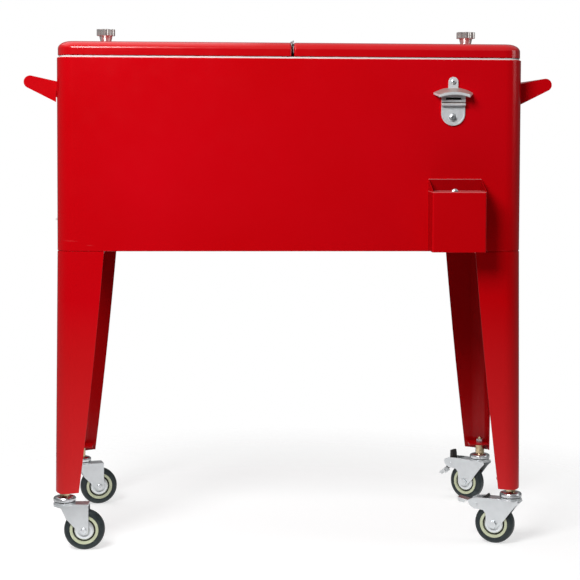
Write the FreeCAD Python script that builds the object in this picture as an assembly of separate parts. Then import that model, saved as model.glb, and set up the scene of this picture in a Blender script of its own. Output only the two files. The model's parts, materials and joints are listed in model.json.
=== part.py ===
import FreeCAD, Part
import math
import os

V = FreeCAD.Vector
X_AXIS = V(1, 0, 0)
Y_AXIS = V(0, 1, 0)
Z_AXIS = V(0, 0, 1)

# A patio cooler cart, in millimetres: an insulated tub with two lids that lift from its ends,
# on four tapered legs with swivel casters.
# Everything is drawn about the middle of the tub, with the floor at Z = 0, X along the tub's
# length and -Y towards the user. save_all() then moves it along Y, so that the origin lies on the
# floor under the middle of the whole cart, bin and turned casters included.

# ---------------------------------------------------------------- driving dimensions

# Tub
BODY_LENGTH = 800.0
BODY_DEPTH = 390.0
BODY_BOTTOM = 517.5
BODY_TOP = 847.3
CORNER = 32.0            # radius of the upright corners of tub, lids and legs
SHEET = 1.0              # steel sheet
BEND = 1.5               # outside radius of the folds along the tub's top and bottom
WALL = 25.0              # steel face to liner face
LINER = 2.0              # plastic liner
CAVITY_CORNER = 6.0
FLOOR_INSULATION = 28.0
RIM = 2.7                # liner rim, on top of the steel
RIM_INSET = 3.0
HEM = 15.0               # in-turned top and bottom edges of the steel wrapper
SLACK = 0.3              # between pieces that lie next to each other

# Lids
LID_GAP = 1.0            # between rim and lid skirt
LID_HEIGHT = 24.0
LID_INSET = 1.5          # lid outline inside the tub's outline
CROWN_WIDTH = 21.0       # the lid's top edge is a quarter ellipse
CROWN_HEIGHT = 13.0
SEAM_X = 2.0             # the lids part here
SEAM_GAP = 4.6
SEAM_ROUND = 3.5
GASKET_INSET = 9.0
GASKET_WIDTH = 8.0
LID_LINER_RISE = 2.5     # lid liner above the skirt's lower edge

# Hinge
PIN_RADIUS = 1.2
PIN_FIT = 0.08
BARREL_RADIUS = 2.3
BARREL_RISE = 1.0        # pin axis above the lids' top
LEAF = 1.0
HINGE_LENGTH = 372.0
KNUCKLES = 13
KNUCKLE_GAP = 0.5
LEAF_LENGTH = 19.0       # how far a lid's leaf reaches down from the pin

# Centre bar, across the tub's mouth
BAR_WIDTH = 44.0
BAR_HEIGHT = 16.0
BAR_SHEET = 2.0
BAR_TAB = 26.0

# Knobs
KNOB_FROM_END = 72.5
KNOB_RADIUS = 17.7
KNOB_LOBES = 6
KNOB_HEIGHT = 30.0
KNOB_HEAD = 11.5
KNOB_NECK_LOW = 8.4
KNOB_NECK_HIGH = 12.0

# Side handles
HANDLE_HALF_SPAN = 146.0
HANDLE_REACH = 58.5      # wall to the outside of the grip
HANDLE_ROOT_Z = 789.5    # middle of the arm at the wall
HANDLE_TIP_Z = 806.0     # middle of the grip
GRIP_RADIUS = 11.0
GRIP_SHEET = 1.5
ARM_SHEET = 3.0
ARM_ROOT_HEIGHT = 36.0
ARM_STANDOFF = 3.5
ARM_NECK = 11.0          # height of the neck that joins arm and wall plate

# Legs
LEG_SHEET = 1.5
WELD_INSET = 1.2         # leg plates overlap the flange and the foot plate where they are welded
WELD_TOLERANCE = 0.005
LEG_TOP_WIDTH = 81.0
LEG_FOOT_WIDTH = 42.0
LEG_BOW = 2.0            # the inner edges bulge by this at mid-height
LEG_SPLAY = 4.5          # a foot stands this much further out than the tub's end
LEG_SEAM = 1.6           # gap under the tub
LEG_BOTTOM = 98.0
LEG_FOOT_RISE = 5.0      # the lower edge climbs by this towards the inner edges
LEG_FLANGE = 3.5
FOOT_PLATE_Z = 112.0
FOOT_PLATE = 3.0

# Casters
STEM_FROM_SIDE = 16.0
STEM_FROM_FACE = 23.0
WHEEL_RADIUS = 35.0
WHEEL_WIDTH = 20.0
TYRE_ROUND = 3.0
CORE_RADIUS = 25.0
AXLE_RADIUS = 4.0
AXLE_FIT = 0.08
PLAIN_TRAIL = 34.0
BRAKED_TRAIL = 28.0
FORK_GAP = 24.0
FORK_SHEET = 2.0
CROWN_TOP = 80.5
CROWN_SHEET = 2.5
RACE_RADIUS = 19.5
RACE_LOW = 84.0
RACE_TOP = 93.5
COLLAR_RADIUS = 8.5
KINGPIN_RADIUS = 6.0
STEM_RADIUS = 4.0
STEM_TOP = 126.0
PEDAL_LENGTH = 36.0
PEDAL_WIDTH = 17.0
PEDAL_SHEET = 2.0
PEDAL_FLANGE = 5.0
ROCKER_REACH = 26.0      # release pad, from the pivot
ROCKER_ANGLE = 129.0     # between tongue and release pad
ROCKER_WIDTH = 16.0
BRAKED_CROWN_END = 38.0
PEDAL_PIVOT = (60.0, 67.5)
PEDAL_UP = 12.0          # degrees above level, brake off
PEDAL_DOWN = -40.0       # brake on

# name: (side in X, side in Y, direction in which the wheel trails, braked, pedal angle)
CASTERS = {
    "front_left": (-1, -1, -2.0, False, None),
    "front_right": (1, -1, 154.0, True, PEDAL_UP),
    "rear_left": (-1, 1, 14.0, False, None),
    "rear_right": (1, 1, 140.0, True, PEDAL_DOWN),
}

# Bottle opener and bin for caps, on the front
OPENER_X = 277.5
OPENER_BOTTOM = 734.0
OPENER_TOP = 817.5
OPENER_PLATE_WIDTH = 41.0
OPENER_TAB_WIDTH = 17.0
OPENER_PLATE = 3.0
OPENER_BORDER = 2.3      # raised border round the lower plate
OPENER_DISH = 0.8
SLOT_HALF = 13.5
RIDGE_RADIUS = 3.0
HOOD_WIDTH = 68.0
HOOD_LIP_WIDTH = 52.0
HOOD_REACH = 24.0
HOOD_BELOW_TOP = 27.0     # ends of the hood, below the top of the tab
CATCHER_X = 282.0
CATCHER_WIDTH = 92.0
CATCHER_DEPTH = 60.0
CATCHER_BOTTOM = 520.0
CATCHER_BACK_TOP = 642.5
CATCHER_FRONT_TOP = 622.0
CATCHER_SHEET = 1.5
CATCHER_CORNER = 3.0

# Drain, through the left wall
DRAIN_Y = 30.0
DRAIN_Z = 560.5
DRAIN_BORE = 7.0
DRAIN_RADIUS = 10.0
DRAIN_REACH = 13.0       # how far the pipe stands out of the wall
PLUG_DEPTH = 18.0

# ---------------------------------------------------------------- worked out from them

SIDE = BODY_LENGTH / 2
FACE = BODY_DEPTH / 2
RIM_TOP = BODY_TOP + RIM
LID_BOTTOM = RIM_TOP + LID_GAP
LID_TOP = LID_BOTTOM + LID_HEIGHT
HINGE_Z = LID_TOP + BARREL_RISE
CAVITY_FLOOR = BODY_BOTTOM + FLOOR_INSULATION + LINER
STEM_X = SIDE + LEG_SPLAY - STEM_FROM_SIDE
STEM_Y = FACE - STEM_FROM_FACE
OPENER_SCREWS_Z = (OPENER_TOP - 8.5, OPENER_BOTTOM + 14.0)
CATCHER_SCREW_Z = CATCHER_BACK_TOP - 23.0
HANDLE_SCREWS_Y = (-100.0, -35.0, 35.0, 100.0)


# ---------------------------------------------------------------- helpers

def save_all(nodes):
    """Write every node, moved so that the origin is under the middle of the cart's outline."""
    boxes = [shape.optimalBoundingBox(False) for shape in nodes.values()]
    middle = (min(box.YMin for box in boxes) + max(box.YMax for box in boxes)) / 2
    for node, shape in nodes.items():
        placed = shape.copy()
        placed.translate(V(0, -middle, 0))
        placed.exportStep("parts/" + node + ".step")


def block(x_range, y_range, z_range):
    (x0, x1), (y0, y1), (z0, z1) = x_range, y_range, z_range
    return Part.makeBox(x1 - x0, y1 - y0, z1 - z0, V(x0, y0, z0))


def rod(start, direction, radius, length):
    return Part.makeCylinder(radius, length, start, direction)


def is_upright(edge):
    ends = edge.Vertexes
    return len(ends) == 2 and math.hypot(ends[0].X - ends[1].X, ends[0].Y - ends[1].Y) < 1e-6


def rounded_block(x_range, y_range, z_range, radius):
    """A box whose four upright edges are rounded."""
    plain = block(x_range, y_range, z_range)
    return plain.makeFillet(radius, [edge for edge in plain.Edges if is_upright(edge)])


def tub_block(inset, z_range):
    """The tub's outline, moved inwards by inset."""
    half_length = SIDE - inset
    half_depth = FACE - inset
    return rounded_block((-half_length, half_length), (-half_depth, half_depth), z_range, CORNER - inset)


def prism(points, direction):
    """A polygon given by its corners, pushed along direction."""
    return Part.Face(Part.makePolygon(points + [points[0]])).extrude(direction)


def lathe(profile, start=V(0, 0, 0), axis=Z_AXIS):
    """Turn a closed (radius, height) outline about an axis."""
    outline = [V(radius, 0, height) for radius, height in profile]
    turned = Part.Face(Part.makePolygon(outline + [outline[0]])).revolve(V(0, 0, 0), Z_AXIS, 360)
    turned.Placement = FreeCAD.Placement(start, FreeCAD.Rotation(Z_AXIS, axis))
    return turned


def hexagon(start, direction, across_flats, length):
    corner = across_flats / math.sqrt(3)
    points = [
        V(corner * math.cos(math.radians(60 * i)), corner * math.sin(math.radians(60 * i)), 0)
        for i in range(6)
    ]
    solid = prism(points, V(0, 0, length))
    solid.Placement = FreeCAD.Placement(start, FreeCAD.Rotation(Z_AXIS, direction))
    return solid


def domed_screw(seat, into, head_radius, head_height, shank_radius, shank_length):
    """A cross-recessed screw whose head sits on seat and whose shank runs along into."""
    dome = [(head_radius * across, -head_height * up) for across, up in SCREW_DOME]
    shank = [(shank_radius, 0), (shank_radius, shank_length), (0, shank_length)]
    screw = lathe(dome + shank)
    arm = head_radius * RECESS_REACH
    recess = (-head_height - 1.0, -head_height * (1.0 - RECESS_DEPTH))
    for half_x, half_y in ((arm, RECESS_HALF), (RECESS_HALF, arm)):
        screw = screw.cut(block((-half_x, half_x), (-half_y, half_y), recess))
    screw.Placement = FreeCAD.Placement(seat, FreeCAD.Rotation(Z_AXIS, into))
    return screw


def cut_all(shape, tools):
    return shape.cut(Part.makeCompound(tools)) if tools else shape


# ---------------------------------------------------------------- where the fasteners go

HANDLE_SCREW_RADIUS = 2.5
OPENER_SCREW_RADIUS = 2.4
LEG_BOLT_RADIUS = 3.0
LEG_BOLT_DEPTH = 18.0
HOLE_SLACK = 0.2
POCKET_SLACK = 1.0
SCREW_DEPTH = 14.0
SCREW_DOME = ((0, 1.0), (0.45, 0.97), (0.8, 0.75), (0.97, 0.4), (1.0, 0))   # shares of head radius and height
RECESS_HALF = 0.5
RECESS_REACH = 0.5       # share of the head's radius
RECESS_DEPTH = 0.55      # share of the head's height


def handle_screw_seats():
    """Seats on the handle's wall plates, with the direction into the tub."""
    seats = []
    for side in (-1, 1):
        for y in HANDLE_SCREWS_Y:
            seats.append((V(side * (SIDE + ARM_SHEET), y, handle_plate_z()), V(-side, 0, 0)))
    return seats


def handle_plate_z():
    return HANDLE_ROOT_Z + ARM_ROOT_HEIGHT / 2 - ARM_NECK / 2 - 2.0


def front_screw_seats():
    """Seats of the opener's two screws and the bin's one, on the tub's front."""
    depths = (OPENER_PLATE, OPENER_PLATE - OPENER_DISH)
    seats = [V(OPENER_X, -FACE - depth, z) for depth, z in zip(depths, OPENER_SCREWS_Z)]
    return seats, V(CATCHER_X, -FACE - CATCHER_SHEET, CATCHER_SCREW_Z)


def leg_bolt_centres(side_x, side_y):
    """Two bolts hold each leg's flange under the tub."""
    return [
        (side_x * (SIDE - 24.0), side_y * (FACE - 58.0)),
        (side_x * (SIDE - 58.0), side_y * (FACE - 24.0)),
    ]


def fastener_holes(slack):
    """Clearance for every shank that enters the tub's walls and floor."""
    holes = []
    for seat, into in handle_screw_seats():
        holes.append(rod(seat, into, HANDLE_SCREW_RADIUS + slack, ARM_SHEET + SCREW_DEPTH + slack))
    opener_seats, catcher_seat = front_screw_seats()
    for seat in opener_seats + [catcher_seat]:
        holes.append(rod(seat, Y_AXIS, OPENER_SCREW_RADIUS + slack, SCREW_DEPTH + slack))
    for side_x in (-1, 1):
        for side_y in (-1, 1):
            for x, y in leg_bolt_centres(side_x, side_y):
                start = V(x, y, BODY_BOTTOM - LEG_FLANGE)
                holes.append(rod(start, Z_AXIS, LEG_BOLT_RADIUS + slack, LEG_BOLT_DEPTH + slack))
    return holes


def drain_hole(radius):
    return rod(V(-SIDE - 1.0, DRAIN_Y, DRAIN_Z), X_AXIS, radius, WALL + LINER + 2.0)


# ---------------------------------------------------------------- tub

def outer_shell():
    """Steel wrapper with an in-turned hem at the top and the bottom."""
    outside = tub_block(0, (BODY_BOTTOM, BODY_TOP))
    outside = outside.makeFillet(BEND, [edge for edge in outside.Edges if not is_upright(edge)])
    wrapper = outside.cut(tub_block(SHEET, (BODY_BOTTOM + SHEET, BODY_TOP - SHEET)))
    opening = tub_block(HEM, (BODY_BOTTOM - 1.0, BODY_TOP + 1.0))
    return cut_all(wrapper, [opening, drain_hole(DRAIN_RADIUS + HOLE_SLACK)] + fastener_holes(HOLE_SLACK))


def bottom_panel():
    """Loose steel floor that lies on the wrapper's hem."""
    floor = BODY_BOTTOM + SHEET
    return cut_all(tub_block(SHEET + SLACK, (floor, floor + SHEET)), fastener_holes(HOLE_SLACK))


def inner_liner():
    """Plastic tub with a rim that covers the top edge of the steel."""
    tub = tub_block(WALL, (CAVITY_FLOOR - LINER, RIM_TOP))
    rim = tub_block(RIM_INSET, (BODY_TOP, RIM_TOP))
    cavity = rounded_block(
        (-SIDE + WALL + LINER, SIDE - WALL - LINER),
        (-FACE + WALL + LINER, FACE - WALL - LINER),
        (CAVITY_FLOOR, RIM_TOP + 1.0),
        CAVITY_CORNER,
    )
    liner = tub.fuse(rim).cut(cavity).removeSplitter()
    return cut_all(liner, [drain_hole(DRAIN_RADIUS + HOLE_SLACK)] + bar_screw_clearance(HOLE_SLACK))


def foam_insulation():
    """Foamed filling between wrapper and liner."""
    outside = tub_block(SHEET + SLACK, (BODY_BOTTOM + 2 * SHEET + SLACK, BODY_TOP - SHEET - SLACK))
    inside = rounded_block(
        (-SIDE + WALL - SLACK, SIDE - WALL + SLACK),
        (-FACE + WALL - SLACK, FACE - WALL + SLACK),
        (CAVITY_FLOOR - LINER - SLACK, BODY_TOP),
        CORNER - WALL + 1.0,
    )
    pockets = fastener_holes(POCKET_SLACK) + bar_screw_clearance(POCKET_SLACK)
    pockets.append(drain_hole(DRAIN_RADIUS + HOLE_SLACK))
    return cut_all(outside.cut(inside), pockets)


# ---------------------------------------------------------------- centre bar and hinge

BAR_SCREW_RADIUS = 2.0
BAR_SCREW_DEPTH = 9.0


def bar_screw_seats():
    """Two screws at each end of the bar, from inside the tub into its long walls."""
    inner_face = FACE - WALL - LINER
    seats = []
    for side_y in (-1, 1):
        for offset in (-12.0, 12.0):
            seat = V(SEAM_X + offset, side_y * (inner_face - BAR_SHEET), RIM_TOP - BAR_TAB + 5.0)
            seats.append((seat, V(0, side_y, 0)))
    return seats


def bar_screw_clearance(slack):
    """Clearance for the bar's screws."""
    return [
        rod(seat, into, BAR_SCREW_RADIUS + slack, BAR_SCREW_DEPTH + 1.0 + slack)
        for seat, into in bar_screw_seats()
    ]


def centre_bar():
    """Folded channel across the tub's mouth: it carries the hinge and both lids' inner edges."""
    reach = FACE - WALL - LINER
    x_low, x_high = SEAM_X - BAR_WIDTH / 2, SEAM_X + BAR_WIDTH / 2
    web = block((x_low, x_high), (-reach, reach), (RIM_TOP - BAR_SHEET, RIM_TOP))
    channel = web
    for x in (x_low, x_high - BAR_SHEET):
        channel = channel.fuse(block((x, x + BAR_SHEET), (-reach, reach), (RIM_TOP - BAR_HEIGHT, RIM_TOP)))
    for y in (-reach, reach - BAR_SHEET):
        channel = channel.fuse(block((x_low, x_high), (y, y + BAR_SHEET), (RIM_TOP - BAR_TAB, RIM_TOP)))
    slot_half = LEAF / 2 + 0.1
    slot = block(
        (SEAM_X - slot_half, SEAM_X + slot_half),
        (-reach + 4.0, reach - 4.0),
        (RIM_TOP - 5.0, RIM_TOP + 1.0),
    )
    return cut_all(channel.removeSplitter(), [slot] + bar_screw_clearance(HOLE_SLACK))


def centre_bar_screws():
    return Part.makeCompound([
        domed_screw(seat, into, 4.0, 2.2, BAR_SCREW_RADIUS, BAR_SCREW_DEPTH)
        for seat, into in bar_screw_seats()
    ])


def knuckle_range(index):
    pitch = HINGE_LENGTH / KNUCKLES
    low = -HINGE_LENGTH / 2 + index * pitch
    return low + KNUCKLE_GAP / 2, low + pitch - KNUCKLE_GAP / 2


def hinge_leaf(x_range, z_low, half_length, own):
    """A flat leaf with rolled knuckles. own lists the knuckles, and the leaf is cut away at the others."""
    cut_back = HINGE_Z - BARREL_RADIUS - 0.5
    leaf = block(x_range, (-half_length, half_length), (z_low, cut_back))
    for index in own:
        y_low, y_high = knuckle_range(index)
        start = V(SEAM_X, y_low, HINGE_Z)
        leaf = leaf.fuse(block(x_range, (y_low, y_high), (cut_back - 1.0, HINGE_Z)))
        leaf = leaf.fuse(rod(start, Y_AXIS, BARREL_RADIUS, y_high - y_low))
    bore = rod(V(SEAM_X, -HINGE_LENGTH, HINGE_Z), Y_AXIS, PIN_RADIUS + PIN_FIT, 2 * HINGE_LENGTH)
    return leaf.cut(bore).removeSplitter()


def hinge_centre_leaf():
    """Fixed leaf: its lower edge sits in the bar's slot."""
    reach = FACE - WALL - LINER - 4.5
    own = range(0, KNUCKLES, 2)
    return hinge_leaf((SEAM_X - LEAF / 2, SEAM_X + LEAF / 2), RIM_TOP - 8.0, reach, own)


def lid_leaf(side):
    """Leaf on the inner skirt of one lid."""
    inner = SEAM_X + side * (SEAM_GAP / 2 - LEAF)
    outer = SEAM_X + side * SEAM_GAP / 2
    own = range(1 if side < 0 else 3, KNUCKLES, 4)
    sheet = (min(inner, outer), max(inner, outer))
    return hinge_leaf(sheet, HINGE_Z - LEAF_LENGTH, HINGE_LENGTH / 2 - 6.0, own)


def hinge_pin():
    """One long pin with a peened head at each end."""
    half = HINGE_LENGTH / 2
    head = BARREL_RADIUS - 0.2
    pin = rod(V(SEAM_X, -half, HINGE_Z), Y_AXIS, PIN_RADIUS, HINGE_LENGTH)
    for y in (-half - 1.2, half):
        pin = pin.fuse(rod(V(SEAM_X, y, HINGE_Z), Y_AXIS, head, 1.2))
    return pin.removeSplitter()


# ---------------------------------------------------------------- lids

def crown_profile(radius, z_low, z_high, width, height):
    """Section of the lid's edge: x = 0 is the outside and x = radius the corner's centre."""
    z_spring = z_high - height
    ellipse = Part.Ellipse(V(2 * width, 0, z_spring), V(width, 0, z_high), V(width, 0, z_spring))
    curve = Part.Arc(ellipse, math.pi / 2, math.pi).toShape()
    corners = [
        V(0, 0, z_spring), V(0, 0, z_low), V(radius, 0, z_low), V(radius, 0, z_high), V(width, 0, z_high),
    ]
    sides = [Part.makeLine(a, b) for a, b in zip(corners, corners[1:]) if (b - a).Length > 1e-6]
    return Part.Face(Part.Wire(Part.__sortEdges__([curve] + sides)))


def crowned_block(half_length, half_depth, radius, z_range, width, height):
    """A block with round corners whose top edge is a quarter ellipse all round."""
    z_low, z_high = z_range
    section = crown_profile(radius, z_low, z_high, width, height)
    run_x = half_length - radius
    run_y = half_depth - radius
    solid = block((-run_x, run_x), (-run_y, run_y), z_range)
    for quarter, (along, across) in enumerate([(run_y, half_length), (run_x, half_depth)] * 2):
        # The section starts at the -X end and is then carried round the block.
        side = section.copy()
        side.translate(V(-across, -along, 0))
        run = side.extrude(V(0, 2 * along, 0))
        corner = side.revolve(V(radius - across, -along, 0), Z_AXIS, 90)
        piece = run.fuse(corner)
        piece.rotate(V(0, 0, 0), Z_AXIS, 90 * quarter)
        solid = solid.fuse(piece)
    return solid.removeSplitter()


def half_lid(side, inset, z_low):
    """The outside of one lid, moved inwards by inset on its top and sides."""
    whole = crowned_block(
        SIDE - LID_INSET - inset,
        FACE - LID_INSET - inset,
        CORNER - inset,
        (z_low, LID_TOP - inset),
        CROWN_WIDTH - inset,
        CROWN_HEIGHT - inset,
    )
    seam = SEAM_X + side * (SEAM_GAP / 2 + inset)
    far = side * 2 * SIDE
    half = whole.common(
        block((min(seam, far), max(seam, far)), (-2 * FACE, 2 * FACE), (z_low - 1.0, LID_TOP + 1.0))
    )
    at_seam = []
    for edge in half.Edges:
        middle = edge.valueAt((edge.FirstParameter + edge.LastParameter) / 2)
        ends_on_seam = all(abs(vertex.X - seam) < 1e-4 for vertex in edge.Vertexes)
        if ends_on_seam and abs(middle.x - seam) < 1e-4 and middle.z > z_low + 0.5:
            at_seam.append(edge)
    return half.makeFillet(SEAM_ROUND - inset, at_seam)


def lid_skin(side):
    """Deep-drawn steel cover."""
    skin = half_lid(side, 0, LID_BOTTOM).cut(half_lid(side, SHEET, LID_BOTTOM - 1.0))
    return skin.cut(rod(knob_seat(side) - V(0, 0, 3.0), Z_AXIS, KNOB_SCREW_RADIUS + HOLE_SLACK, 6.0))


def lid_layer(side, z_low, z_high):
    """A flat layer that fills the inside of the lid between two heights."""
    inside = half_lid(side, SHEET + SLACK, LID_BOTTOM)
    return inside.common(block((-2 * SIDE, 2 * SIDE), (-2 * FACE, 2 * FACE), (z_low, z_high)))


def lid_liner(side):
    """Plastic sheet that closes the lid from below."""
    return lid_layer(side, LID_BOTTOM + LID_LINER_RISE, LID_BOTTOM + LID_LINER_RISE + LINER)


def lid_foam(side):
    """Foam between skin and liner, with a pocket for the knob's screw."""
    foam = lid_layer(side, LID_BOTTOM + LID_LINER_RISE + LINER + SLACK, LID_TOP)
    pocket = rod(knob_seat(side) - V(0, 0, 8.0), Z_AXIS, 9.0, 10.0)
    return foam.cut(pocket)


def lid_gasket(side):
    """Soft rubber frame under the liner, resting on the rim and the centre bar."""
    outer_x = side * (SIDE - LID_INSET - GASKET_INSET)
    seam_x = SEAM_X + side * (SEAM_GAP / 2 + 4.0)
    half_depth = FACE - LID_INSET - GASKET_INSET
    heights = (RIM_TOP, LID_BOTTOM + LID_LINER_RISE)
    low_x, high_x = min(outer_x, seam_x), max(outer_x, seam_x)
    frame = rounded_block((low_x, high_x), (-half_depth, half_depth), heights, 16.0)
    hole = rounded_block(
        (low_x + GASKET_WIDTH, high_x - GASKET_WIDTH),
        (-half_depth + GASKET_WIDTH, half_depth - GASKET_WIDTH),
        (heights[0] - 1.0, heights[1] + 1.0),
        8.0,
    )
    return frame.cut(hole)


# ---------------------------------------------------------------- knobs

KNOB_SCREW_RADIUS = 2.5
KNOB_SCREW_LENGTH = 12.0
KNOB_SCREW_HEAD = (6.5, 3.0)     # radius, height
LOBE_RADIUS = 6.2
DISH_RADIUS = 40.0
DISH_DEPTH = 1.4


def knob_seat(side):
    return V(side * (SIDE - KNOB_FROM_END), 0, LID_TOP)


def lid_knob(side):
    """Lobed chrome knob on a flared neck."""
    neck_height = KNOB_HEIGHT - KNOB_HEAD
    neck = lathe([
        (0, 0), (KNOB_NECK_LOW + 1.0, 0), (KNOB_NECK_LOW, 1.5),
        (KNOB_NECK_HIGH, neck_height), (0, neck_height),
    ])
    reach = KNOB_RADIUS - LOBE_RADIUS
    head = rod(V(0, 0, neck_height), Z_AXIS, KNOB_RADIUS - 4.0, KNOB_HEAD)
    for i in range(KNOB_LOBES):
        angle = 2 * math.pi * (i + 0.5) / KNOB_LOBES
        centre = V(reach * math.cos(angle), reach * math.sin(angle), neck_height)
        head = head.fuse(rod(centre, Z_AXIS, LOBE_RADIUS, KNOB_HEAD))
    dish = Part.makeSphere(DISH_RADIUS, V(0, 0, KNOB_HEIGHT + DISH_RADIUS - DISH_DEPTH))
    bore = rod(V(0, 0, -1.0), Z_AXIS, KNOB_SCREW_RADIUS + HOLE_SLACK, KNOB_SCREW_LENGTH + 3.0)
    knob = neck.fuse(head).removeSplitter().cut(dish).cut(bore)
    knob.translate(knob_seat(side))
    return knob


def knob_screw(side):
    """Pan-head screw from inside the lid."""
    seat = knob_seat(side) - V(0, 0, SHEET)
    return domed_screw(seat, Z_AXIS, *KNOB_SCREW_HEAD, KNOB_SCREW_RADIUS, KNOB_SCREW_LENGTH)


# ---------------------------------------------------------------- side handles

def handle(side):
    """Two tapered arms and a round grip, welded to a plate on the end wall."""
    wall = SIDE
    tip_x = wall + HANDLE_REACH - GRIP_RADIUS
    root_x = wall + ARM_STANDOFF
    top_root = HANDLE_ROOT_Z + ARM_ROOT_HEIGHT / 2
    low_root = HANDLE_ROOT_Z - ARM_ROOT_HEIGHT / 2
    rise = HANDLE_TIP_Z - HANDLE_ROOT_Z
    run = tip_x - root_x
    lean = math.atan2(rise, run)
    taper = math.asin((ARM_ROOT_HEIGHT / 2 - GRIP_RADIUS) / math.hypot(run, rise))
    top_angle = math.pi / 2 + lean - taper
    low_angle = -math.pi / 2 + lean + taper
    top_tip = (tip_x + GRIP_RADIUS * math.cos(top_angle), HANDLE_TIP_Z + GRIP_RADIUS * math.sin(top_angle))
    low_tip = (tip_x + GRIP_RADIUS * math.cos(low_angle), HANDLE_TIP_Z + GRIP_RADIUS * math.sin(low_angle))
    outline = [
        (wall, top_root), (root_x, top_root), top_tip, low_tip, (root_x, low_root),
        (root_x, top_root - ARM_NECK), (wall, top_root - ARM_NECK),
    ]
    welded = block(
        (wall, wall + ARM_SHEET),
        (-HANDLE_HALF_SPAN, HANDLE_HALF_SPAN),
        (top_root - ARM_NECK - 4.0, top_root),
    )
    for y in (-HANDLE_HALF_SPAN, HANDLE_HALF_SPAN - ARM_SHEET):
        arm = prism([V(x, y, z) for x, z in outline], V(0, ARM_SHEET, 0))
        arm = arm.fuse(rod(V(tip_x, y, HANDLE_TIP_Z), Y_AXIS, GRIP_RADIUS, ARM_SHEET))
        welded = welded.fuse(arm)
    between = HANDLE_HALF_SPAN - ARM_SHEET
    grip = rod(V(tip_x, -between, HANDLE_TIP_Z), Y_AXIS, GRIP_RADIUS, 2 * between)
    hollow = rod(V(tip_x, -between, HANDLE_TIP_Z), Y_AXIS, GRIP_RADIUS - GRIP_SHEET, 2 * between)
    welded = welded.fuse(grip.cut(hollow)).removeSplitter()
    if side < 0:
        welded = welded.mirror(V(0, 0, 0), X_AXIS)
    holes = [
        rod(seat + into * -1.0, into, HANDLE_SCREW_RADIUS + HOLE_SLACK, ARM_SHEET + 2.0)
        for seat, into in handle_screw_seats()
        if seat.x * side > 0
    ]
    return cut_all(welded, holes)


def handle_screws():
    return Part.makeCompound([
        domed_screw(seat, into, 4.4, 2.6, HANDLE_SCREW_RADIUS, ARM_SHEET + SCREW_DEPTH - 1.0)
        for seat, into in handle_screw_seats()
    ])


# ---------------------------------------------------------------- legs

def leg_mask(z_low, z_high):
    """Side view of a leg plate: straight outside at u = 0 and a bowed, tapered inside."""
    middle = (z_low + z_high) / 2
    bulge = (LEG_TOP_WIDTH + LEG_FOOT_WIDTH) / 2 + LEG_BOW
    inner = Part.Arc(V(LEG_FOOT_WIDTH, 0, z_low), V(bulge, 0, middle), V(LEG_TOP_WIDTH, 0, z_high)).toShape()
    foot = LEG_BOTTOM + LEG_FOOT_RISE
    corners = [
        V(LEG_TOP_WIDTH, 0, z_high), V(-1.0, 0, z_high), V(-1.0, 0, LEG_BOTTOM), V(LEG_FOOT_WIDTH, 0, foot),
    ]
    sides = [Part.makeLine(a, b) for a, b in zip(corners, corners[1:])]
    return Part.Face(Part.Wire(Part.__sortEdges__([inner] + sides)))


def leg(side_x, side_y):
    """Tapered angle-section leg with a flange under the tub and a foot plate for the caster."""
    top = BODY_BOTTOM - LEG_SEAM
    foot = LEG_BOTTOM + LEG_FOOT_RISE
    shell = tub_block(0, (LEG_BOTTOM - 1.0, top)).cut(tub_block(LEG_SHEET, (LEG_BOTTOM - 2.0, top + 1.0)))
    mask = leg_mask(foot, top)
    across = mask.copy()
    across.translate(V(-SIDE, -FACE - 1.0, 0))
    across = across.extrude(V(0, BODY_DEPTH + 2.0, 0))
    along = mask.copy()
    along.rotate(V(0, 0, 0), Z_AXIS, 90)
    along.translate(V(SIDE + 1.0, -FACE, 0))
    along = along.extrude(V(-BODY_LENGTH - 2.0, 0, 0))
    plates = shell.common(across).common(along)
    plates.rotate(V(-SIDE, -FACE, top), Y_AXIS, math.degrees(math.atan2(LEG_SPLAY, top - LEG_BOTTOM)))

    inside = tub_block(WELD_INSET, (FOOT_PLATE_Z, FOOT_PLATE_Z + FOOT_PLATE))
    reach = LEG_FOOT_WIDTH - 3.0
    foot_plate = inside.common(block((-SIDE, -SIDE + reach), (-FACE, -FACE + reach), (0, BODY_BOTTOM)))
    foot_plate.translate(V(-LEG_SPLAY, 0, 0))
    inside = tub_block(WELD_INSET, (BODY_BOTTOM - LEG_FLANGE, BODY_BOTTOM))
    flange = inside.common(prism(
        [V(-SIDE, -FACE, 0), V(-SIDE + LEG_TOP_WIDTH, -FACE, 0), V(-SIDE + LEG_TOP_WIDTH, -FACE + 20.0, 0),
         V(-SIDE + 20.0, -FACE + LEG_TOP_WIDTH, 0), V(-SIDE, -FACE + LEG_TOP_WIDTH, 0)],
        V(0, 0, BODY_TOP),
    ))
    welded = plates.fuse([foot_plate, flange], WELD_TOLERANCE).removeSplitter()
    welded = welded.cut(rod(V(-STEM_X, -STEM_Y, FOOT_PLATE_Z - 1.0), Z_AXIS, STEM_RADIUS + HOLE_SLACK, 5.0))
    for x, y in leg_bolt_centres(-1, -1):
        welded = welded.cut(rod(V(x, y, BODY_BOTTOM - 5.0), Z_AXIS, LEG_BOLT_RADIUS + HOLE_SLACK, 6.0))
    if side_x > 0:
        welded = welded.mirror(V(0, 0, 0), X_AXIS)
    if side_y > 0:
        welded = welded.mirror(V(0, 0, 0), Y_AXIS)
    return welded


def leg_bolts():
    """Hexagon bolts, from below through flange and floor into the foam."""
    bolts = []
    for side_x in (-1, 1):
        for side_y in (-1, 1):
            for x, y in leg_bolt_centres(side_x, side_y):
                under = BODY_BOTTOM - LEG_FLANGE
                head = hexagon(V(x, y, under - 4.0), Z_AXIS, 10.0, 4.0)
                shank = rod(V(x, y, under), Z_AXIS, LEG_BOLT_RADIUS, LEG_BOLT_DEPTH)
                bolts.append(head.fuse(shank).removeSplitter())
    return Part.makeCompound(bolts)


# ---------------------------------------------------------------- casters

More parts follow.
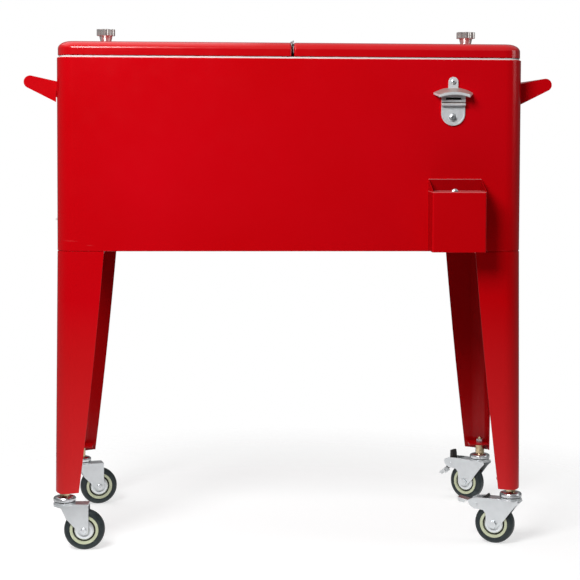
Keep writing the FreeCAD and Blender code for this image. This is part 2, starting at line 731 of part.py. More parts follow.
def caster_stem():
    """Kingpin, upper race, collar and threaded stem, turned about Z."""
    below = CROWN_TOP - CROWN_SHEET - SLACK
    return lathe([
        (0, below - 3.5), (7.0, below - 3.5), (9.0, below - 1.5), (9.0, below),
        (KINGPIN_RADIUS, below), (KINGPIN_RADIUS, RACE_LOW), (RACE_RADIUS - 1.5, RACE_LOW),
        (RACE_RADIUS, RACE_LOW + 1.3), (RACE_RADIUS, RACE_TOP - 4.0), (RACE_RADIUS - 1.4, RACE_TOP - 1.8),
        (RACE_RADIUS - 5.0, RACE_TOP - 0.5), (COLLAR_RADIUS + 1.0, RACE_TOP), (COLLAR_RADIUS, RACE_TOP),
        (COLLAR_RADIUS, FOOT_PLATE_Z), (STEM_RADIUS, FOOT_PLATE_Z), (STEM_RADIUS, STEM_TOP - 1.0),
        (STEM_RADIUS - 1.0, STEM_TOP), (0, STEM_TOP),
    ])


def caster_stems():
    stems = []
    for side_x, side_y, _, _, _ in CASTERS.values():
        stem = caster_stem()
        stem.translate(V(side_x * STEM_X, side_y * STEM_Y, 0))
        stems.append(stem)
    return Part.makeCompound(stems)


def caster_nuts():
    nuts = []
    seat = FOOT_PLATE_Z + FOOT_PLATE
    for side_x, side_y, _, _, _ in CASTERS.values():
        centre = V(side_x * STEM_X, side_y * STEM_Y, seat)
        nut = hexagon(centre, Z_AXIS, 12.0, 6.5)
        nuts.append(nut.cut(rod(centre - V(0, 0, 1.0), Z_AXIS, STEM_RADIUS + 0.05, 10.0)))
    return Part.makeCompound(nuts)


def side_plate_outline(braked):
    """Corners (distance along the trail, height) of a fork's side plate."""
    if braked:
        return [
            (-16.0, CROWN_TOP), (-18.0, 75.0), (-10.0, 67.5), (12.0, 38.0), (21.5, 28.8), (36.5, 32.0),
            (40.5, 39.0), (41.5, 53.0), (46.0, 58.5), (53.0, 59.5), (63.0, 60.0), (70.0, 64.5),
            (74.0, 70.5), (73.0, 75.0), (64.0, CROWN_TOP - 1.0), (48.0, CROWN_TOP),
        ]
    return [
        (-17.0, CROWN_TOP), (-17.0, 77.0), (-5.0, 73.5), (3.6, 55.0), (27.5, 30.3), (42.0, 35.0),
        (42.0, CROWN_TOP),
    ]


def caster_fork(braked):
    """Pressed fork: a round crown over the kingpin and two side plates."""
    trail = BRAKED_TRAIL if braked else PLAIN_TRAIL
    half = FORK_GAP / 2 + FORK_SHEET
    crown_low = CROWN_TOP - CROWN_SHEET
    crown_end = BRAKED_CROWN_END if braked else trail + 8.0
    fork = rod(V(0, 0, crown_low), Z_AXIS, RACE_RADIUS, CROWN_SHEET)
    fork = fork.fuse(block((0, crown_end), (-half, half), (crown_low, CROWN_TOP)))
    fork = fork.fuse(rod(V(0, 0, CROWN_TOP), Z_AXIS, RACE_RADIUS - 1.0, 2.5))
    for y in (-half, half - FORK_SHEET):
        plate = prism([V(x, y, z) for x, z in side_plate_outline(braked)], V(0, FORK_SHEET, 0))
        boss = rod(V(trail, y, WHEEL_RADIUS), Y_AXIS, 8.0, FORK_SHEET)
        fork = fork.fuse(plate.fuse(boss))
    fork = fork.removeSplitter()
    fork = fork.cut(rod(V(0, 0, crown_low - 1.0), Z_AXIS, KINGPIN_RADIUS + AXLE_FIT, 12.0))
    fork = fork.cut(rod(V(trail, -half - 1.0, WHEEL_RADIUS), Y_AXIS, AXLE_RADIUS + 0.1, 2 * half + 2.0))
    if braked:
        pivot_x, pivot_z = PEDAL_PIVOT
        fork = fork.cut(rod(V(pivot_x, -half - 1.0, pivot_z), Y_AXIS, 2.1, 2 * half + 2.0))
    return fork


def caster_axle(trail):
    """Axle bolt: hexagon head on one side, peened end on the other."""
    half = FORK_GAP / 2 + FORK_SHEET
    shank = rod(V(trail, -half, WHEEL_RADIUS), Y_AXIS, AXLE_RADIUS, 2 * half)
    head = hexagon(V(trail, half, WHEEL_RADIUS), Y_AXIS, 12.0, 4.0)
    end = lathe(
        [(0, 0), (5.0, 0), (5.0, 1.2), (3.5, 2.4), (0, 2.4)], V(trail, -half, WHEEL_RADIUS), V(0, -1, 0)
    )
    return shank.fuse(head).fuse(end).removeSplitter()


def caster_wheel(trail):
    """Moulded wheel centre: hub, recessed web and rim."""
    hub, web, rim = 11.4, 6.0, 9.4
    bore = AXLE_RADIUS + AXLE_FIT
    half = [
        (bore, hub), (8.0, hub), (8.5, 10.4), (16.0, 10.4), (16.5, web), (18.8, web), (19.3, rim),
        (CORE_RADIUS, rim),
    ]
    other = [(radius, -height) for radius, height in reversed(half)]
    return lathe(half + other, V(trail, 0, WHEEL_RADIUS), Y_AXIS)


def caster_tyre(trail):
    half = WHEEL_WIDTH / 2
    ring = rod(V(trail, -half, WHEEL_RADIUS), Y_AXIS, WHEEL_RADIUS, WHEEL_WIDTH)
    edges = [edge for edge in ring.Edges if len(edge.Vertexes) == 1]
    ring = ring.makeFillet(TYRE_ROUND, edges)
    return ring.cut(rod(V(trail, -half - 1.0, WHEEL_RADIUS), Y_AXIS, CORE_RADIUS, WHEEL_WIDTH + 2.0))


def brake_pedal(angle):
    """Steel tongue in a plastic rocker that carries a cam below and a release pad above."""
    half = PEDAL_WIDTH / 2
    rocker_half = ROCKER_WIDTH / 2
    hub = rod(V(0, -rocker_half, 0), Y_AXIS, 5.0, ROCKER_WIDTH)
    root = prism(
        [
            V(0, -rocker_half, -4.5), V(13.0, -rocker_half, -4.0),
            V(13.0, -rocker_half, 3.5), V(0, -rocker_half, 4.5),
        ],
        V(0, ROCKER_WIDTH, 0),
    )
    pad = prism(
        [V(0, -rocker_half, -3.5), V(ROCKER_REACH, -rocker_half, -2.5), V(ROCKER_REACH, -rocker_half, 1.5),
         V(ROCKER_REACH - 7.0, -rocker_half, 3.0), V(0, -rocker_half, 3.5)],
        V(0, ROCKER_WIDTH, 0),
    )
    pad.rotate(V(0, 0, 0), Y_AXIS, -ROCKER_ANGLE)
    cam = prism(
        [V(-3.5, -7.0, -1.0), V(-3.0, -7.0, -7.0), V(3.0, -7.0, -7.0), V(3.5, -7.0, -1.0)], V(0, 14.0, 0)
    )
    tread = prism(
        [V(10.0, -6.5, 0), V(16.0, -6.5, 0), V(21.0, -half, 0), V(PEDAL_LENGTH, -half, 0),
         V(PEDAL_LENGTH, half, 0), V(21.0, half, 0), V(16.0, 6.5, 0), V(10.0, 6.5, 0)],
        V(0, 0, PEDAL_SHEET),
    )
    pedal = hub.fuse([root, pad, cam, tread])
    for y in (-half, half - PEDAL_SHEET):
        flange = prism(
            [V(21.0, y, 0.5), V(PEDAL_LENGTH, y, 0.5), V(PEDAL_LENGTH - 3.0, y, -PEDAL_FLANGE),
             V(22.0, y, -PEDAL_FLANGE)],
            V(0, PEDAL_SHEET, 0),
        )
        pedal = pedal.fuse(flange)
    pedal = pedal.removeSplitter()
    pedal = pedal.cut(rod(V(0, -half - 1.0, 0), Y_AXIS, 2.0 + AXLE_FIT, PEDAL_WIDTH + 2.0))
    pedal.rotate(V(0, 0, 0), Y_AXIS, -angle)
    pedal.translate(V(PEDAL_PIVOT[0], 0, PEDAL_PIVOT[1]))
    return pedal


def brake_pin():
    """Riveted pin through both ears of the fork."""
    half = FORK_GAP / 2 + FORK_SHEET
    pivot_x, pivot_z = PEDAL_PIVOT
    pin = rod(V(pivot_x, -half, pivot_z), Y_AXIS, 2.0, 2 * half)
    for y in (-half - 1.2, half):
        pin = pin.fuse(rod(V(pivot_x, y, pivot_z), Y_AXIS, 3.4, 1.2))
    return pin.removeSplitter()


def caster_nodes(name, side_x, side_y, direction, braked, pedal_angle):
    trail = BRAKED_TRAIL if braked else PLAIN_TRAIL
    pieces = {
        "fork": caster_fork(braked),
        "axle": caster_axle(trail),
        "wheel": caster_wheel(trail),
        "tyre": caster_tyre(trail),
    }
    if braked:
        pieces["brake_pedal"] = brake_pedal(pedal_angle)
        pieces["brake_pin"] = brake_pin()
    nodes = {}
    for piece, shape in pieces.items():
        placed = shape.copy()
        placed.rotate(V(0, 0, 0), Z_AXIS, direction)
        placed.translate(V(side_x * STEM_X, side_y * STEM_Y, 0))
        nodes["caster_" + name + "_" + piece] = placed
    return nodes


# ---------------------------------------------------------------- opener and bin for caps

def arch(y, half_width, z_ends, z_middle, thickness):
    """A flat band, bent upwards in the middle, in the plane Y = y."""
    def curve(drop):
        return Part.Arc(
            V(OPENER_X - half_width, y, z_ends - drop),
            V(OPENER_X, y, z_middle - drop),
            V(OPENER_X + half_width, y, z_ends - drop),
        ).toShape()
    top, low = curve(0), curve(thickness)
    ends = [
        Part.makeLine(V(x, y, z_ends), V(x, y, z_ends - thickness))
        for x in (OPENER_X - half_width, OPENER_X + half_width)
    ]
    return Part.Wire(Part.__sortEdges__([top, low] + ends))


def bottle_opener():
    """Cast wall opener: tab, hood with a lip, throat with a slot, and rounded lower plate."""
    front = -FACE
    half = OPENER_PLATE_WIDTH / 2
    hood_z = OPENER_TOP - HOOD_BELOW_TOP
    round_z = OPENER_BOTTOM + half
    plate = block((OPENER_X - half, OPENER_X + half), (front - OPENER_PLATE, front), (round_z, hood_z))
    plate = plate.fuse(rod(V(OPENER_X, front - OPENER_PLATE, round_z), Y_AXIS, half, OPENER_PLATE))
    tab_half = OPENER_TAB_WIDTH / 2
    tab_z = OPENER_TOP - tab_half
    tab = block(
        (OPENER_X - tab_half, OPENER_X + tab_half), (front - OPENER_PLATE, front), (hood_z - 12.0, tab_z)
    )
    tab = tab.fuse(rod(V(OPENER_X, front - OPENER_PLATE, tab_z), Y_AXIS, tab_half, OPENER_PLATE))
    hood = Part.makeLoft(
        [
            arch(front, HOOD_WIDTH / 2, hood_z, hood_z + 9.0, 3.0),
            arch(front - HOOD_REACH, HOOD_LIP_WIDTH / 2, hood_z - 3.5, hood_z + 1.0, 4.8),
        ],
        True,
        True,
    )
    throat = block((OPENER_X - half, OPENER_X + half), (front - 9.0, front), (hood_z - 16.0, hood_z - 2.0))
    slot = block(
        (OPENER_X - SLOT_HALF, OPENER_X + SLOT_HALF),
        (front - 10.0, front - OPENER_PLATE),
        (hood_z - 12.4, hood_z - 8.5),
    )
    ridge_z = hood_z - 20.0
    ridge = rod(V(OPENER_X - half, front - 7.0, ridge_z), X_AXIS, RIDGE_RADIUS, OPENER_PLATE_WIDTH)
    ridge = ridge.fuse(block(
        (OPENER_X - half, OPENER_X + half),
        (front - 7.0, front),
        (ridge_z - RIDGE_RADIUS, ridge_z + RIDGE_RADIUS),
    ))
    inner = half - OPENER_BORDER
    face = front - OPENER_PLATE - 1.0
    dish = rod(V(OPENER_X, face, round_z), Y_AXIS, inner, 1.0 + OPENER_DISH)
    dish = dish.fuse(block(
        (OPENER_X - inner, OPENER_X + inner), (face, face + 1.0 + OPENER_DISH), (round_z, ridge_z - 4.5)
    ))
    cast = plate.cut(dish).fuse(tab).fuse(hood).fuse(throat).fuse(ridge).cut(slot).removeSplitter()
    holes = [
        rod(V(OPENER_X, front - 10.0, z), Y_AXIS, OPENER_SCREW_RADIUS + HOLE_SLACK, 11.0)
        for z in OPENER_SCREWS_Z
    ]
    return cut_all(cast, holes)


def opener_screws():
    seats, _ = front_screw_seats()
    radii = (4.6, 7.0)
    return Part.makeCompound([
        domed_screw(seat, Y_AXIS, head, 3.0, OPENER_SCREW_RADIUS, SCREW_DEPTH - 1.0)
        for seat, head in zip(seats, radii)
    ])


def front_corners(shape):
    """Upright edges on the user's side of the bin."""
    middle = -FACE - CATCHER_DEPTH / 2
    return [edge for edge in shape.Edges if is_upright(edge) and edge.Vertexes[0].Y < middle]


def cap_catcher():
    """Open sheet-steel bin: the back is higher than the front."""
    front = -FACE
    half = CATCHER_WIDTH / 2
    outline = [
        V(CATCHER_X - half, front, CATCHER_BOTTOM),
        V(CATCHER_X - half, front, CATCHER_BACK_TOP),
        V(CATCHER_X - half, front - CATCHER_SHEET, CATCHER_BACK_TOP),
        V(CATCHER_X - half, front - CATCHER_DEPTH, CATCHER_FRONT_TOP),
        V(CATCHER_X - half, front - CATCHER_DEPTH, CATCHER_BOTTOM),
    ]
    outside = prism(outline, V(CATCHER_WIDTH, 0, 0))
    outside = outside.makeFillet(CATCHER_CORNER, front_corners(outside))
    inside = block(
        (CATCHER_X - half + CATCHER_SHEET, CATCHER_X + half - CATCHER_SHEET),
        (front - CATCHER_DEPTH + CATCHER_SHEET, front - CATCHER_SHEET),
        (CATCHER_BOTTOM + CATCHER_SHEET, CATCHER_BACK_TOP + 1.0),
    )
    inside = inside.makeFillet(CATCHER_CORNER - CATCHER_SHEET, front_corners(inside))
    hole = rod(V(CATCHER_X, front - 5.0, CATCHER_SCREW_Z), Y_AXIS, OPENER_SCREW_RADIUS + HOLE_SLACK, 6.0)
    return outside.cut(inside).cut(hole)


def catcher_screw():
    _, seat = front_screw_seats()
    return domed_screw(seat, Y_AXIS, 6.3, 3.2, OPENER_SCREW_RADIUS, SCREW_DEPTH - 1.0)


# ---------------------------------------------------------------- drain

DRAIN_FLANGE = 3.0
DRAIN_WASHER = 1.5


def drain_pipe():
    """Flanged pipe from the bottom of the cavity to the outside of the left wall."""
    inner_face = -SIDE + WALL + LINER
    flange_low = inner_face + DRAIN_WASHER
    length = SIDE + flange_low + DRAIN_REACH
    pipe = rod(V(-SIDE - DRAIN_REACH, DRAIN_Y, DRAIN_Z), X_AXIS, DRAIN_RADIUS, length)
    pipe = pipe.fuse(rod(V(flange_low, DRAIN_Y, DRAIN_Z), X_AXIS, 12.5, DRAIN_FLANGE))
    bore = rod(V(-SIDE - DRAIN_REACH - 1.0, DRAIN_Y, DRAIN_Z), X_AXIS, DRAIN_BORE + AXLE_FIT, length + 10.0)
    return pipe.cut(bore).removeSplitter()


def drain_gasket():
    inner_face = V(-SIDE + WALL + LINER, DRAIN_Y, DRAIN_Z)
    ring = rod(inner_face, X_AXIS, 12.5, DRAIN_WASHER)
    return ring.cut(rod(inner_face - V(1.0, 0, 0), X_AXIS, DRAIN_RADIUS + HOLE_SLACK, 5.0))


def drain_nut():
    face = V(-SIDE, DRAIN_Y, DRAIN_Z)
    nut = hexagon(face, V(-1, 0, 0), 29.0, 6.0)
    return nut.cut(rod(face + V(1.0, 0, 0), V(-1, 0, 0), DRAIN_RADIUS + 0.1, 10.0))


def drain_plug():
    """Push-in bung with a pull tab."""
    mouth = V(-SIDE - DRAIN_REACH, DRAIN_Y, DRAIN_Z)
    plug = rod(mouth, X_AXIS, DRAIN_BORE, PLUG_DEPTH)
    plug = plug.fuse(rod(mouth, V(-1, 0, 0), DRAIN_RADIUS, 3.0))
    tab = block(
        (mouth.x - 8.0, mouth.x - 3.0),
        (DRAIN_Y - 6.0, DRAIN_Y + 6.0),
        (DRAIN_Z - 1.5, DRAIN_Z + 1.5),
    )
    return plug.fuse(tab).removeSplitter()


# ---------------------------------------------------------------- the cart

def main():
    os.makedirs("parts", exist_ok=True)
    nodes = {
        "outer_shell": outer_shell(),
        "bottom_panel": bottom_panel(),
        "foam_insulation": foam_insulation(),
        "inner_liner": inner_liner(),
        "centre_bar": centre_bar(),
        "centre_bar_screws": centre_bar_screws(),
        "hinge_centre_leaf": hinge_centre_leaf(),
        "hinge_pin": hinge_pin(),
        "handle_screws": handle_screws(),
        "leg_bolts": leg_bolts(),
        "caster_stems": caster_stems(),
        "caster_nuts": caster_nuts(),
        "bottle_opener": bottle_opener(),
        "opener_screws": opener_screws(),
        "cap_catcher": cap_catcher(),
        "catcher_screw": catcher_screw(),
        "drain_pipe": drain_pipe(),
        "drain_gasket": drain_gasket(),
        "drain_nut": drain_nut(),
        "drain_plug": drain_plug(),
    }
    for name, side in (("left", -1), ("right", 1)):
        nodes["handle_" + name] = handle(side)
        nodes["lid_" + name + "_skin"] = lid_skin(side)
        nodes["lid_" + name + "_liner"] = lid_liner(side)
        nodes["lid_" + name + "_foam"] = lid_foam(side)
        nodes["lid_" + name + "_gasket"] = lid_gasket(side)
        nodes["lid_" + name + "_hinge_leaf"] = lid_leaf(side)
        nodes["lid_" + name + "_knob"] = lid_knob(side)
        nodes["lid_" + name + "_knob_screw"] = knob_screw(side)
    for name, (side_x, side_y, direction, braked, pedal_angle) in CASTERS.items():
        nodes["leg_" + name] = leg(side_x, side_y)
        nodes.update(caster_nodes(name, side_x, side_y, direction, braked, pedal_angle))
    save_all(nodes)


main()
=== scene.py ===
"""Patio cooler cart: looks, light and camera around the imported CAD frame. Metres throughout."""
import json
import math

import bmesh
import bpy
from mathutils import Matrix, Vector

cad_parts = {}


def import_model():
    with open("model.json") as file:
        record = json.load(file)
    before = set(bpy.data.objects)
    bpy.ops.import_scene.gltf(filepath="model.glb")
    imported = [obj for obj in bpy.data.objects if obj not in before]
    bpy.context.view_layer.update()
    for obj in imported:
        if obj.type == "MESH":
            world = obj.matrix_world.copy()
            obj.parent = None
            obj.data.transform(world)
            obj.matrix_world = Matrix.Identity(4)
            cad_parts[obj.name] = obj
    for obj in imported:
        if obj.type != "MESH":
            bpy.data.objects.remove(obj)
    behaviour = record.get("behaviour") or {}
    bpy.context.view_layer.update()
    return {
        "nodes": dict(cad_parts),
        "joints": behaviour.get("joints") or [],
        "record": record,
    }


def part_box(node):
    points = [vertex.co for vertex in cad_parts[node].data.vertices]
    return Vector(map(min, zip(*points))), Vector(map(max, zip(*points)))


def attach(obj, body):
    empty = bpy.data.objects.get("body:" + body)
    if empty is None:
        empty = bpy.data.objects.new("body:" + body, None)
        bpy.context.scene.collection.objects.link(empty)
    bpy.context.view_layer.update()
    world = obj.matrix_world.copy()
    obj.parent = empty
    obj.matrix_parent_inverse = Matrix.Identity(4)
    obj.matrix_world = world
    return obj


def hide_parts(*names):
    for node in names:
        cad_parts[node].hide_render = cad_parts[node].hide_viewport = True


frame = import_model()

MM = 0.001
NODES = frame["nodes"]
JOINTS = {joint["name"]: joint for joint in frame["joints"]}
CASTERS = ("front_left", "front_right", "rear_left", "rear_right")
BRAKED = ("front_right", "rear_right")

# ---------------------------------------------------------------- sizes, from the frame

TUB_LOW, TUB_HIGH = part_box("outer_shell")
LEFT = TUB_LOW.x
LEG_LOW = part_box("leg_front_left")[0].z
LEG_LENGTH = TUB_LOW.z - LEG_LOW
STEM_COLLAR_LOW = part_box("caster_front_left_fork")[1].z + 10.5 * MM
TONGUE_START = 13 * MM       # from a brake pedal's pin outwards: plastic before it, steel after it
BIN_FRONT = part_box("cap_catcher")[0].y
BIN_SHEET = 3 * MM
BIN_BACK_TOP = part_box("cap_catcher")[1].z
BIN_FRONT_TOP = BIN_BACK_TOP - 20.5 * MM
# The bin's pale top edges are a painted highlight.
EDGE_HIGHLIGHT_DROP = 0.4 * MM          # from a bin sheet's top down to the middle of its pale edge

# Wheels: distances along the axle are from the middle of the wheel
WHEEL_HALF = 10 * MM
TYRE_DEPTH = 10.2 * MM
HUB_BORE = 4.1 * MM
GROOVE_INNER = 16.4 * MM
GROOVE_OUTER = 19.6 * MM
GROOVE_FLOOR = 5 * MM

# Opener: the slot under its lip
SLOT_DROP = 35.7 * MM        # from the opener's top down to the slot's top
SLOT_SIZE = (26.4 * MM, 0.5 * MM, 3.5 * MM)
OPENER_PLATE = 3 * MM
SLOT_STAND_OFF = 0.3 * MM


# ---------------------------------------------------------------- node helpers

class Nodes:
    """A material's node tree with short ways to add and join nodes."""

    def __init__(self, name):
        self.material = bpy.data.materials.new(name)
        self.material.use_nodes = True
        self.tree = self.material.node_tree
        self.shader = self.tree.nodes["Principled BSDF"]
        self.place = self.add("ShaderNodeTexCoord").outputs["Object"]

    def add(self, kind, **settings):
        node = self.tree.nodes.new(kind)
        for key, value in settings.items():
            setattr(node, key, value)
        return node

    def join(self, out, into):
        self.tree.links.new(out, into)

    def set(self, **values):
        """Plain numbers and colours on the shader's own sockets. An underscore stands for a space."""
        for key, value in values.items():
            self.shader.inputs[key.replace("_", " ")].default_value = value

    def stretched(self, scale):
        mapping = self.add("ShaderNodeMapping")
        mapping.inputs["Scale"].default_value = scale
        self.join(self.place, mapping.inputs["Vector"])
        return mapping.outputs["Vector"]

    def noise(self, scale, detail=3.0, roughness=0.5, stretch=(1, 1, 1)):
        node = self.add("ShaderNodeTexNoise")
        node.inputs["Scale"].default_value = scale
        node.inputs["Detail"].default_value = detail
        node.inputs["Roughness"].default_value = roughness
        self.join(self.stretched(stretch), node.inputs["Vector"])
        return node.outputs["Fac"]

    def ramp(self, value, low, high, out_low=0.0, out_high=1.0):
        node = self.add("ShaderNodeMapRange", clamp=True)
        for key, number in (("From Min", low), ("From Max", high), ("To Min", out_low), ("To Max", out_high)):
            node.inputs[key].default_value = number
        self.join(value, node.inputs["Value"])
        return node.outputs["Result"]

    def mix(self, factor, first, second):
        """Mix two colours, each an output or a plain colour."""
        node = self.add("ShaderNodeMix", data_type="RGBA")
        self.join(factor, node.inputs["Factor"])
        for socket, colour in ((node.inputs["A"], first), (node.inputs["B"], second)):
            self.feed(colour, socket)
        return node.outputs["Result"]

    def math(self, operation, first, second):
        node = self.add("ShaderNodeMath", operation=operation)
        self.feed(first, node.inputs[0])
        self.feed(second, node.inputs[1])
        return node.outputs[0]

    def feed(self, value, socket):
        if isinstance(value, bpy.types.NodeSocket):
            self.join(value, socket)
        elif isinstance(value, tuple):
            socket.default_value = (*value, 1.0)
        else:
            socket.default_value = value

    def axis(self, name):
        split = self.add("ShaderNodeSeparateXYZ")
        self.join(self.place, split.inputs[0])
        return split.outputs[name]

    def colour(self, out):
        self.join(out, self.shader.inputs["Base Color"])

    def roughness(self, out):
        self.join(out, self.shader.inputs["Roughness"])

    def bump(self, height, strength, distance):
        node = self.add("ShaderNodeBump")
        node.inputs["Strength"].default_value = strength
        node.inputs["Distance"].default_value = distance
        self.join(height, node.inputs["Height"])
        self.join(node.outputs["Normal"], self.shader.inputs["Normal"])


# ---------------------------------------------------------------- materials

def red_enamel(name, gloss, highlight_heights=(), shade_from=None):
    """Powder coat on sheet steel: orange peel, clouds, specks, scratches, and a painted reflection of the
    floor low on the front legs.

    Painted shade darkens the legs' insides. Around each height of the third argument the coat is pale:
    a painted highlight on an edge. Behind the plane y given by the last argument it is darkened: painted
    shade.
    """
    n = Nodes(name)
    n.set(Coat_Weight=gloss, Coat_Roughness=0.12, Specular_IOR_Level=0.1 + 0.4 * gloss)
    cloud = n.noise(3.0, 2.0)
    speck = n.ramp(n.noise(420.0, 1.0), 0.735, 0.76)
    tone = n.mix(n.ramp(cloud, 0.3, 0.7), (0.560, 0.0008, 0.0030), (0.620, 0.0012, 0.0060))
    tone = n.mix(n.math("MULTIPLY", speck, 0.25), tone, (0.16, 0.002, 0.004))
    # Painted reflection of the pale floor: low on the front legs the colour is mixed towards pale pink-grey.
    low = n.ramp(n.axis("Z"), LEG_LOW, LEG_LOW + 0.8 * LEG_LENGTH, 0.05, 0.0)
    front = n.ramp(n.axis("Y"), 0.5 * TUB_LOW.y, 0.0, 1.0, 0.0)
    tone = n.mix(n.math("MULTIPLY", low, front), tone, (0.50, 0.42, 0.40))
    # Painted shade: the legs' faces under the tub that look inward are darkened.
    tone = n.mix(n.math("MULTIPLY", inward_leg_shade(n), 0.55), tone, (0.09, 0.001, 0.001))
    # Painted shade in the bin and on its flank, behind its front plate.
    if shade_from is not None:
        behind = n.ramp(n.axis("Y"), shade_from, shade_from + 0.5 * MM)
        tone = n.mix(n.math("MULTIPLY", behind, 0.42), tone, (0.12, 0.0, 0.001))
    # Painted highlight: a thin pale line around each given height, on the bin's top edges.
    for height in highlight_heights:
        off = n.math("ABSOLUTE", n.math("SUBTRACT", n.axis("Z"), height), 0.0)
        tone = n.mix(n.ramp(off, 0.5 * MM, 0.9 * MM, 0.6, 0.0), tone, (0.75, 0.22, 0.22))
    n.colour(n.mix(n.math("MULTIPLY", scratches(n), 0.5), tone, (0.72, 0.16, 0.16)))
    n.roughness(n.ramp(n.noise(35.0, 3.0), 0.3, 0.7, 0.17, 0.24))
    n.bump(n.noise(330.0, 2.0), 0.06, 0.25 * MM)
    return n.material


def inward_leg_shade(n):
    """Mask of painted shade: 1 on the faces under the tub that look towards the middle of the cart."""
    normal = n.add("ShaderNodeNewGeometry").outputs["Normal"]
    level = n.add("ShaderNodeVectorMath", operation="MULTIPLY")
    n.join(n.place, level.inputs[0])
    level.inputs[1].default_value = (1, 1, 0)
    outward = n.add("ShaderNodeVectorMath", operation="DOT_PRODUCT")
    n.join(level.outputs[0], outward.inputs[0])
    n.join(normal, outward.inputs[1])
    inward = n.ramp(outward.outputs["Value"], -0.12, -0.06, 1.0, 0.0)
    under = n.ramp(n.axis("Z"), TUB_LOW.z - 1.5 * MM, TUB_LOW.z - 0.5 * MM, 1.0, 0.0)
    return n.math("MULTIPLY", inward, under)


def scratches(n):
    """Thin, level, broken lines low on the left of the front."""
    x, z = n.axis("X"), n.axis("Z")
    lines = n.ramp(n.noise(9.0, 2.0, stretch=(1.2, 1, 30)), 0.655, 0.672)
    middle_x = LEFT + 0.065
    middle_z = TUB_LOW.z + 0.012
    near_x = n.ramp(n.math("ABSOLUTE", n.math("SUBTRACT", x, middle_x), 0.0), 0.02, 0.06, 1.0, 0.0)
    near_z = n.ramp(n.math("ABSOLUTE", n.math("SUBTRACT", z, middle_z), 0.0), 0.003, 0.008, 1.0, 0.0)
    return n.math("MULTIPLY", lines, n.math("MULTIPLY", near_x, near_z))


def metal(name, colour, rough, grain=90.0, spread=0.08, dark=0.82, bump=0.03, metallic=1.0):
    """Plated or cast metal with a cloudy finish."""
    n = Nodes(name)
    n.set(Metallic=metallic)
    cloud = n.ramp(n.noise(grain, 4.0, 0.6), 0.3, 0.7)
    shade = tuple(channel * dark for channel in colour)
    n.colour(n.mix(cloud, shade, colour))
    n.roughness(n.ramp(n.noise(grain * 2.3, 3.0), 0.3, 0.7, rough - spread, rough + spread))
    n.bump(n.noise(grain * 6, 2.0), bump, 0.2 * MM)
    return n.material


def opener_metal():
    """Cast zinc; brown where it faces up, a painted reflection of the red front and dark surroundings."""
    n = Nodes("opener_metal")
    n.set(Metallic=0.45)
    cloud = n.ramp(n.noise(140.0, 4.0, 0.6), 0.3, 0.7)
    bare_zinc = n.mix(cloud, (0.78, 0.80, 0.82), (0.92, 0.94, 0.96))
    normal = n.add("ShaderNodeSeparateXYZ")
    n.join(n.add("ShaderNodeNewGeometry").outputs["Normal"], normal.inputs[0])
    # Painted reflection: faces that look up are mixed towards brown.
    n.colour(n.mix(n.ramp(normal.outputs["Z"], 0.25, 0.6, 0.0, 0.8), bare_zinc, (0.36, 0.27, 0.23)))
    n.roughness(n.ramp(n.noise(320.0, 3.0), 0.3, 0.7, 0.40, 0.50))
    n.bump(n.noise(840.0, 2.0), 0.06, 0.2 * MM)
    return n.material


def stem_metal():
    """Zinc-plated race below, yellow passivated collar above it."""
    n = Nodes("stem_metal")
    n.set(Metallic=1.0, Roughness=0.2)
    collar = n.ramp(n.axis("Z"), STEM_COLLAR_LOW - 0.1 * MM, STEM_COLLAR_LOW + 0.1 * MM)
    grime = n.ramp(n.noise(160.0, 4.0, 0.6), 0.35, 0.7)
    zinc = n.mix(grime, (0.52, 0.53, 0.55), (0.80, 0.81, 0.83))
    brass = n.mix(grime, (0.42, 0.30, 0.16), (0.78, 0.64, 0.44))
    n.colour(n.mix(collar, zinc, brass))
    n.roughness(n.ramp(n.noise(200.0, 3.0), 0.3, 0.7, 0.14, 0.30))
    return n.material


def plastic(name, colour, second, rough, grain=60.0, bump=0.05, grain_bump=900.0):
    n = Nodes(name)
    n.set(Roughness=rough, Specular_IOR_Level=0.45)
    n.colour(n.mix(n.ramp(n.noise(grain, 3.0), 0.3, 0.7), colour, second))
    n.roughness(n.ramp(n.noise(grain * 3, 3.0), 0.3, 0.7, rough * 0.85, rough * 1.15))
    n.bump(n.noise(grain_bump, 2.0), bump, 0.2 * MM)
    return n.material


def foam():
    """Closed-cell foam."""
    n = Nodes("foam")
    n.set(Roughness=0.9, Specular_IOR_Level=0.2)
    cells = n.add("ShaderNodeTexVoronoi")
    cells.inputs["Scale"].default_value = 700.0
    n.join(n.place, cells.inputs["Vector"])
    n.colour(n.mix(n.ramp(cells.outputs["Distance"], 0.0, 0.6), (0.70, 0.60, 0.36), (0.86, 0.78, 0.55)))
    n.bump(cells.outputs["Distance"], 0.5, 0.4 * MM)
    return n.material


def tread():
    """Dark green-black rubber with scuffs and dust."""
    n = Nodes("tread")
    n.set(Roughness=0.42, Specular_IOR_Level=0.4)
    dust = n.ramp(n.noise(75.0, 5.0, 0.65), 0.45, 0.75)
    n.colour(n.mix(dust, (0.009, 0.016, 0.018), (0.028, 0.040, 0.041)))
    n.roughness(n.ramp(n.noise(120.0, 3.0), 0.3, 0.7, 0.34, 0.55))
    n.bump(n.noise(700.0, 3.0), 0.12, 0.2 * MM)
    return n.material


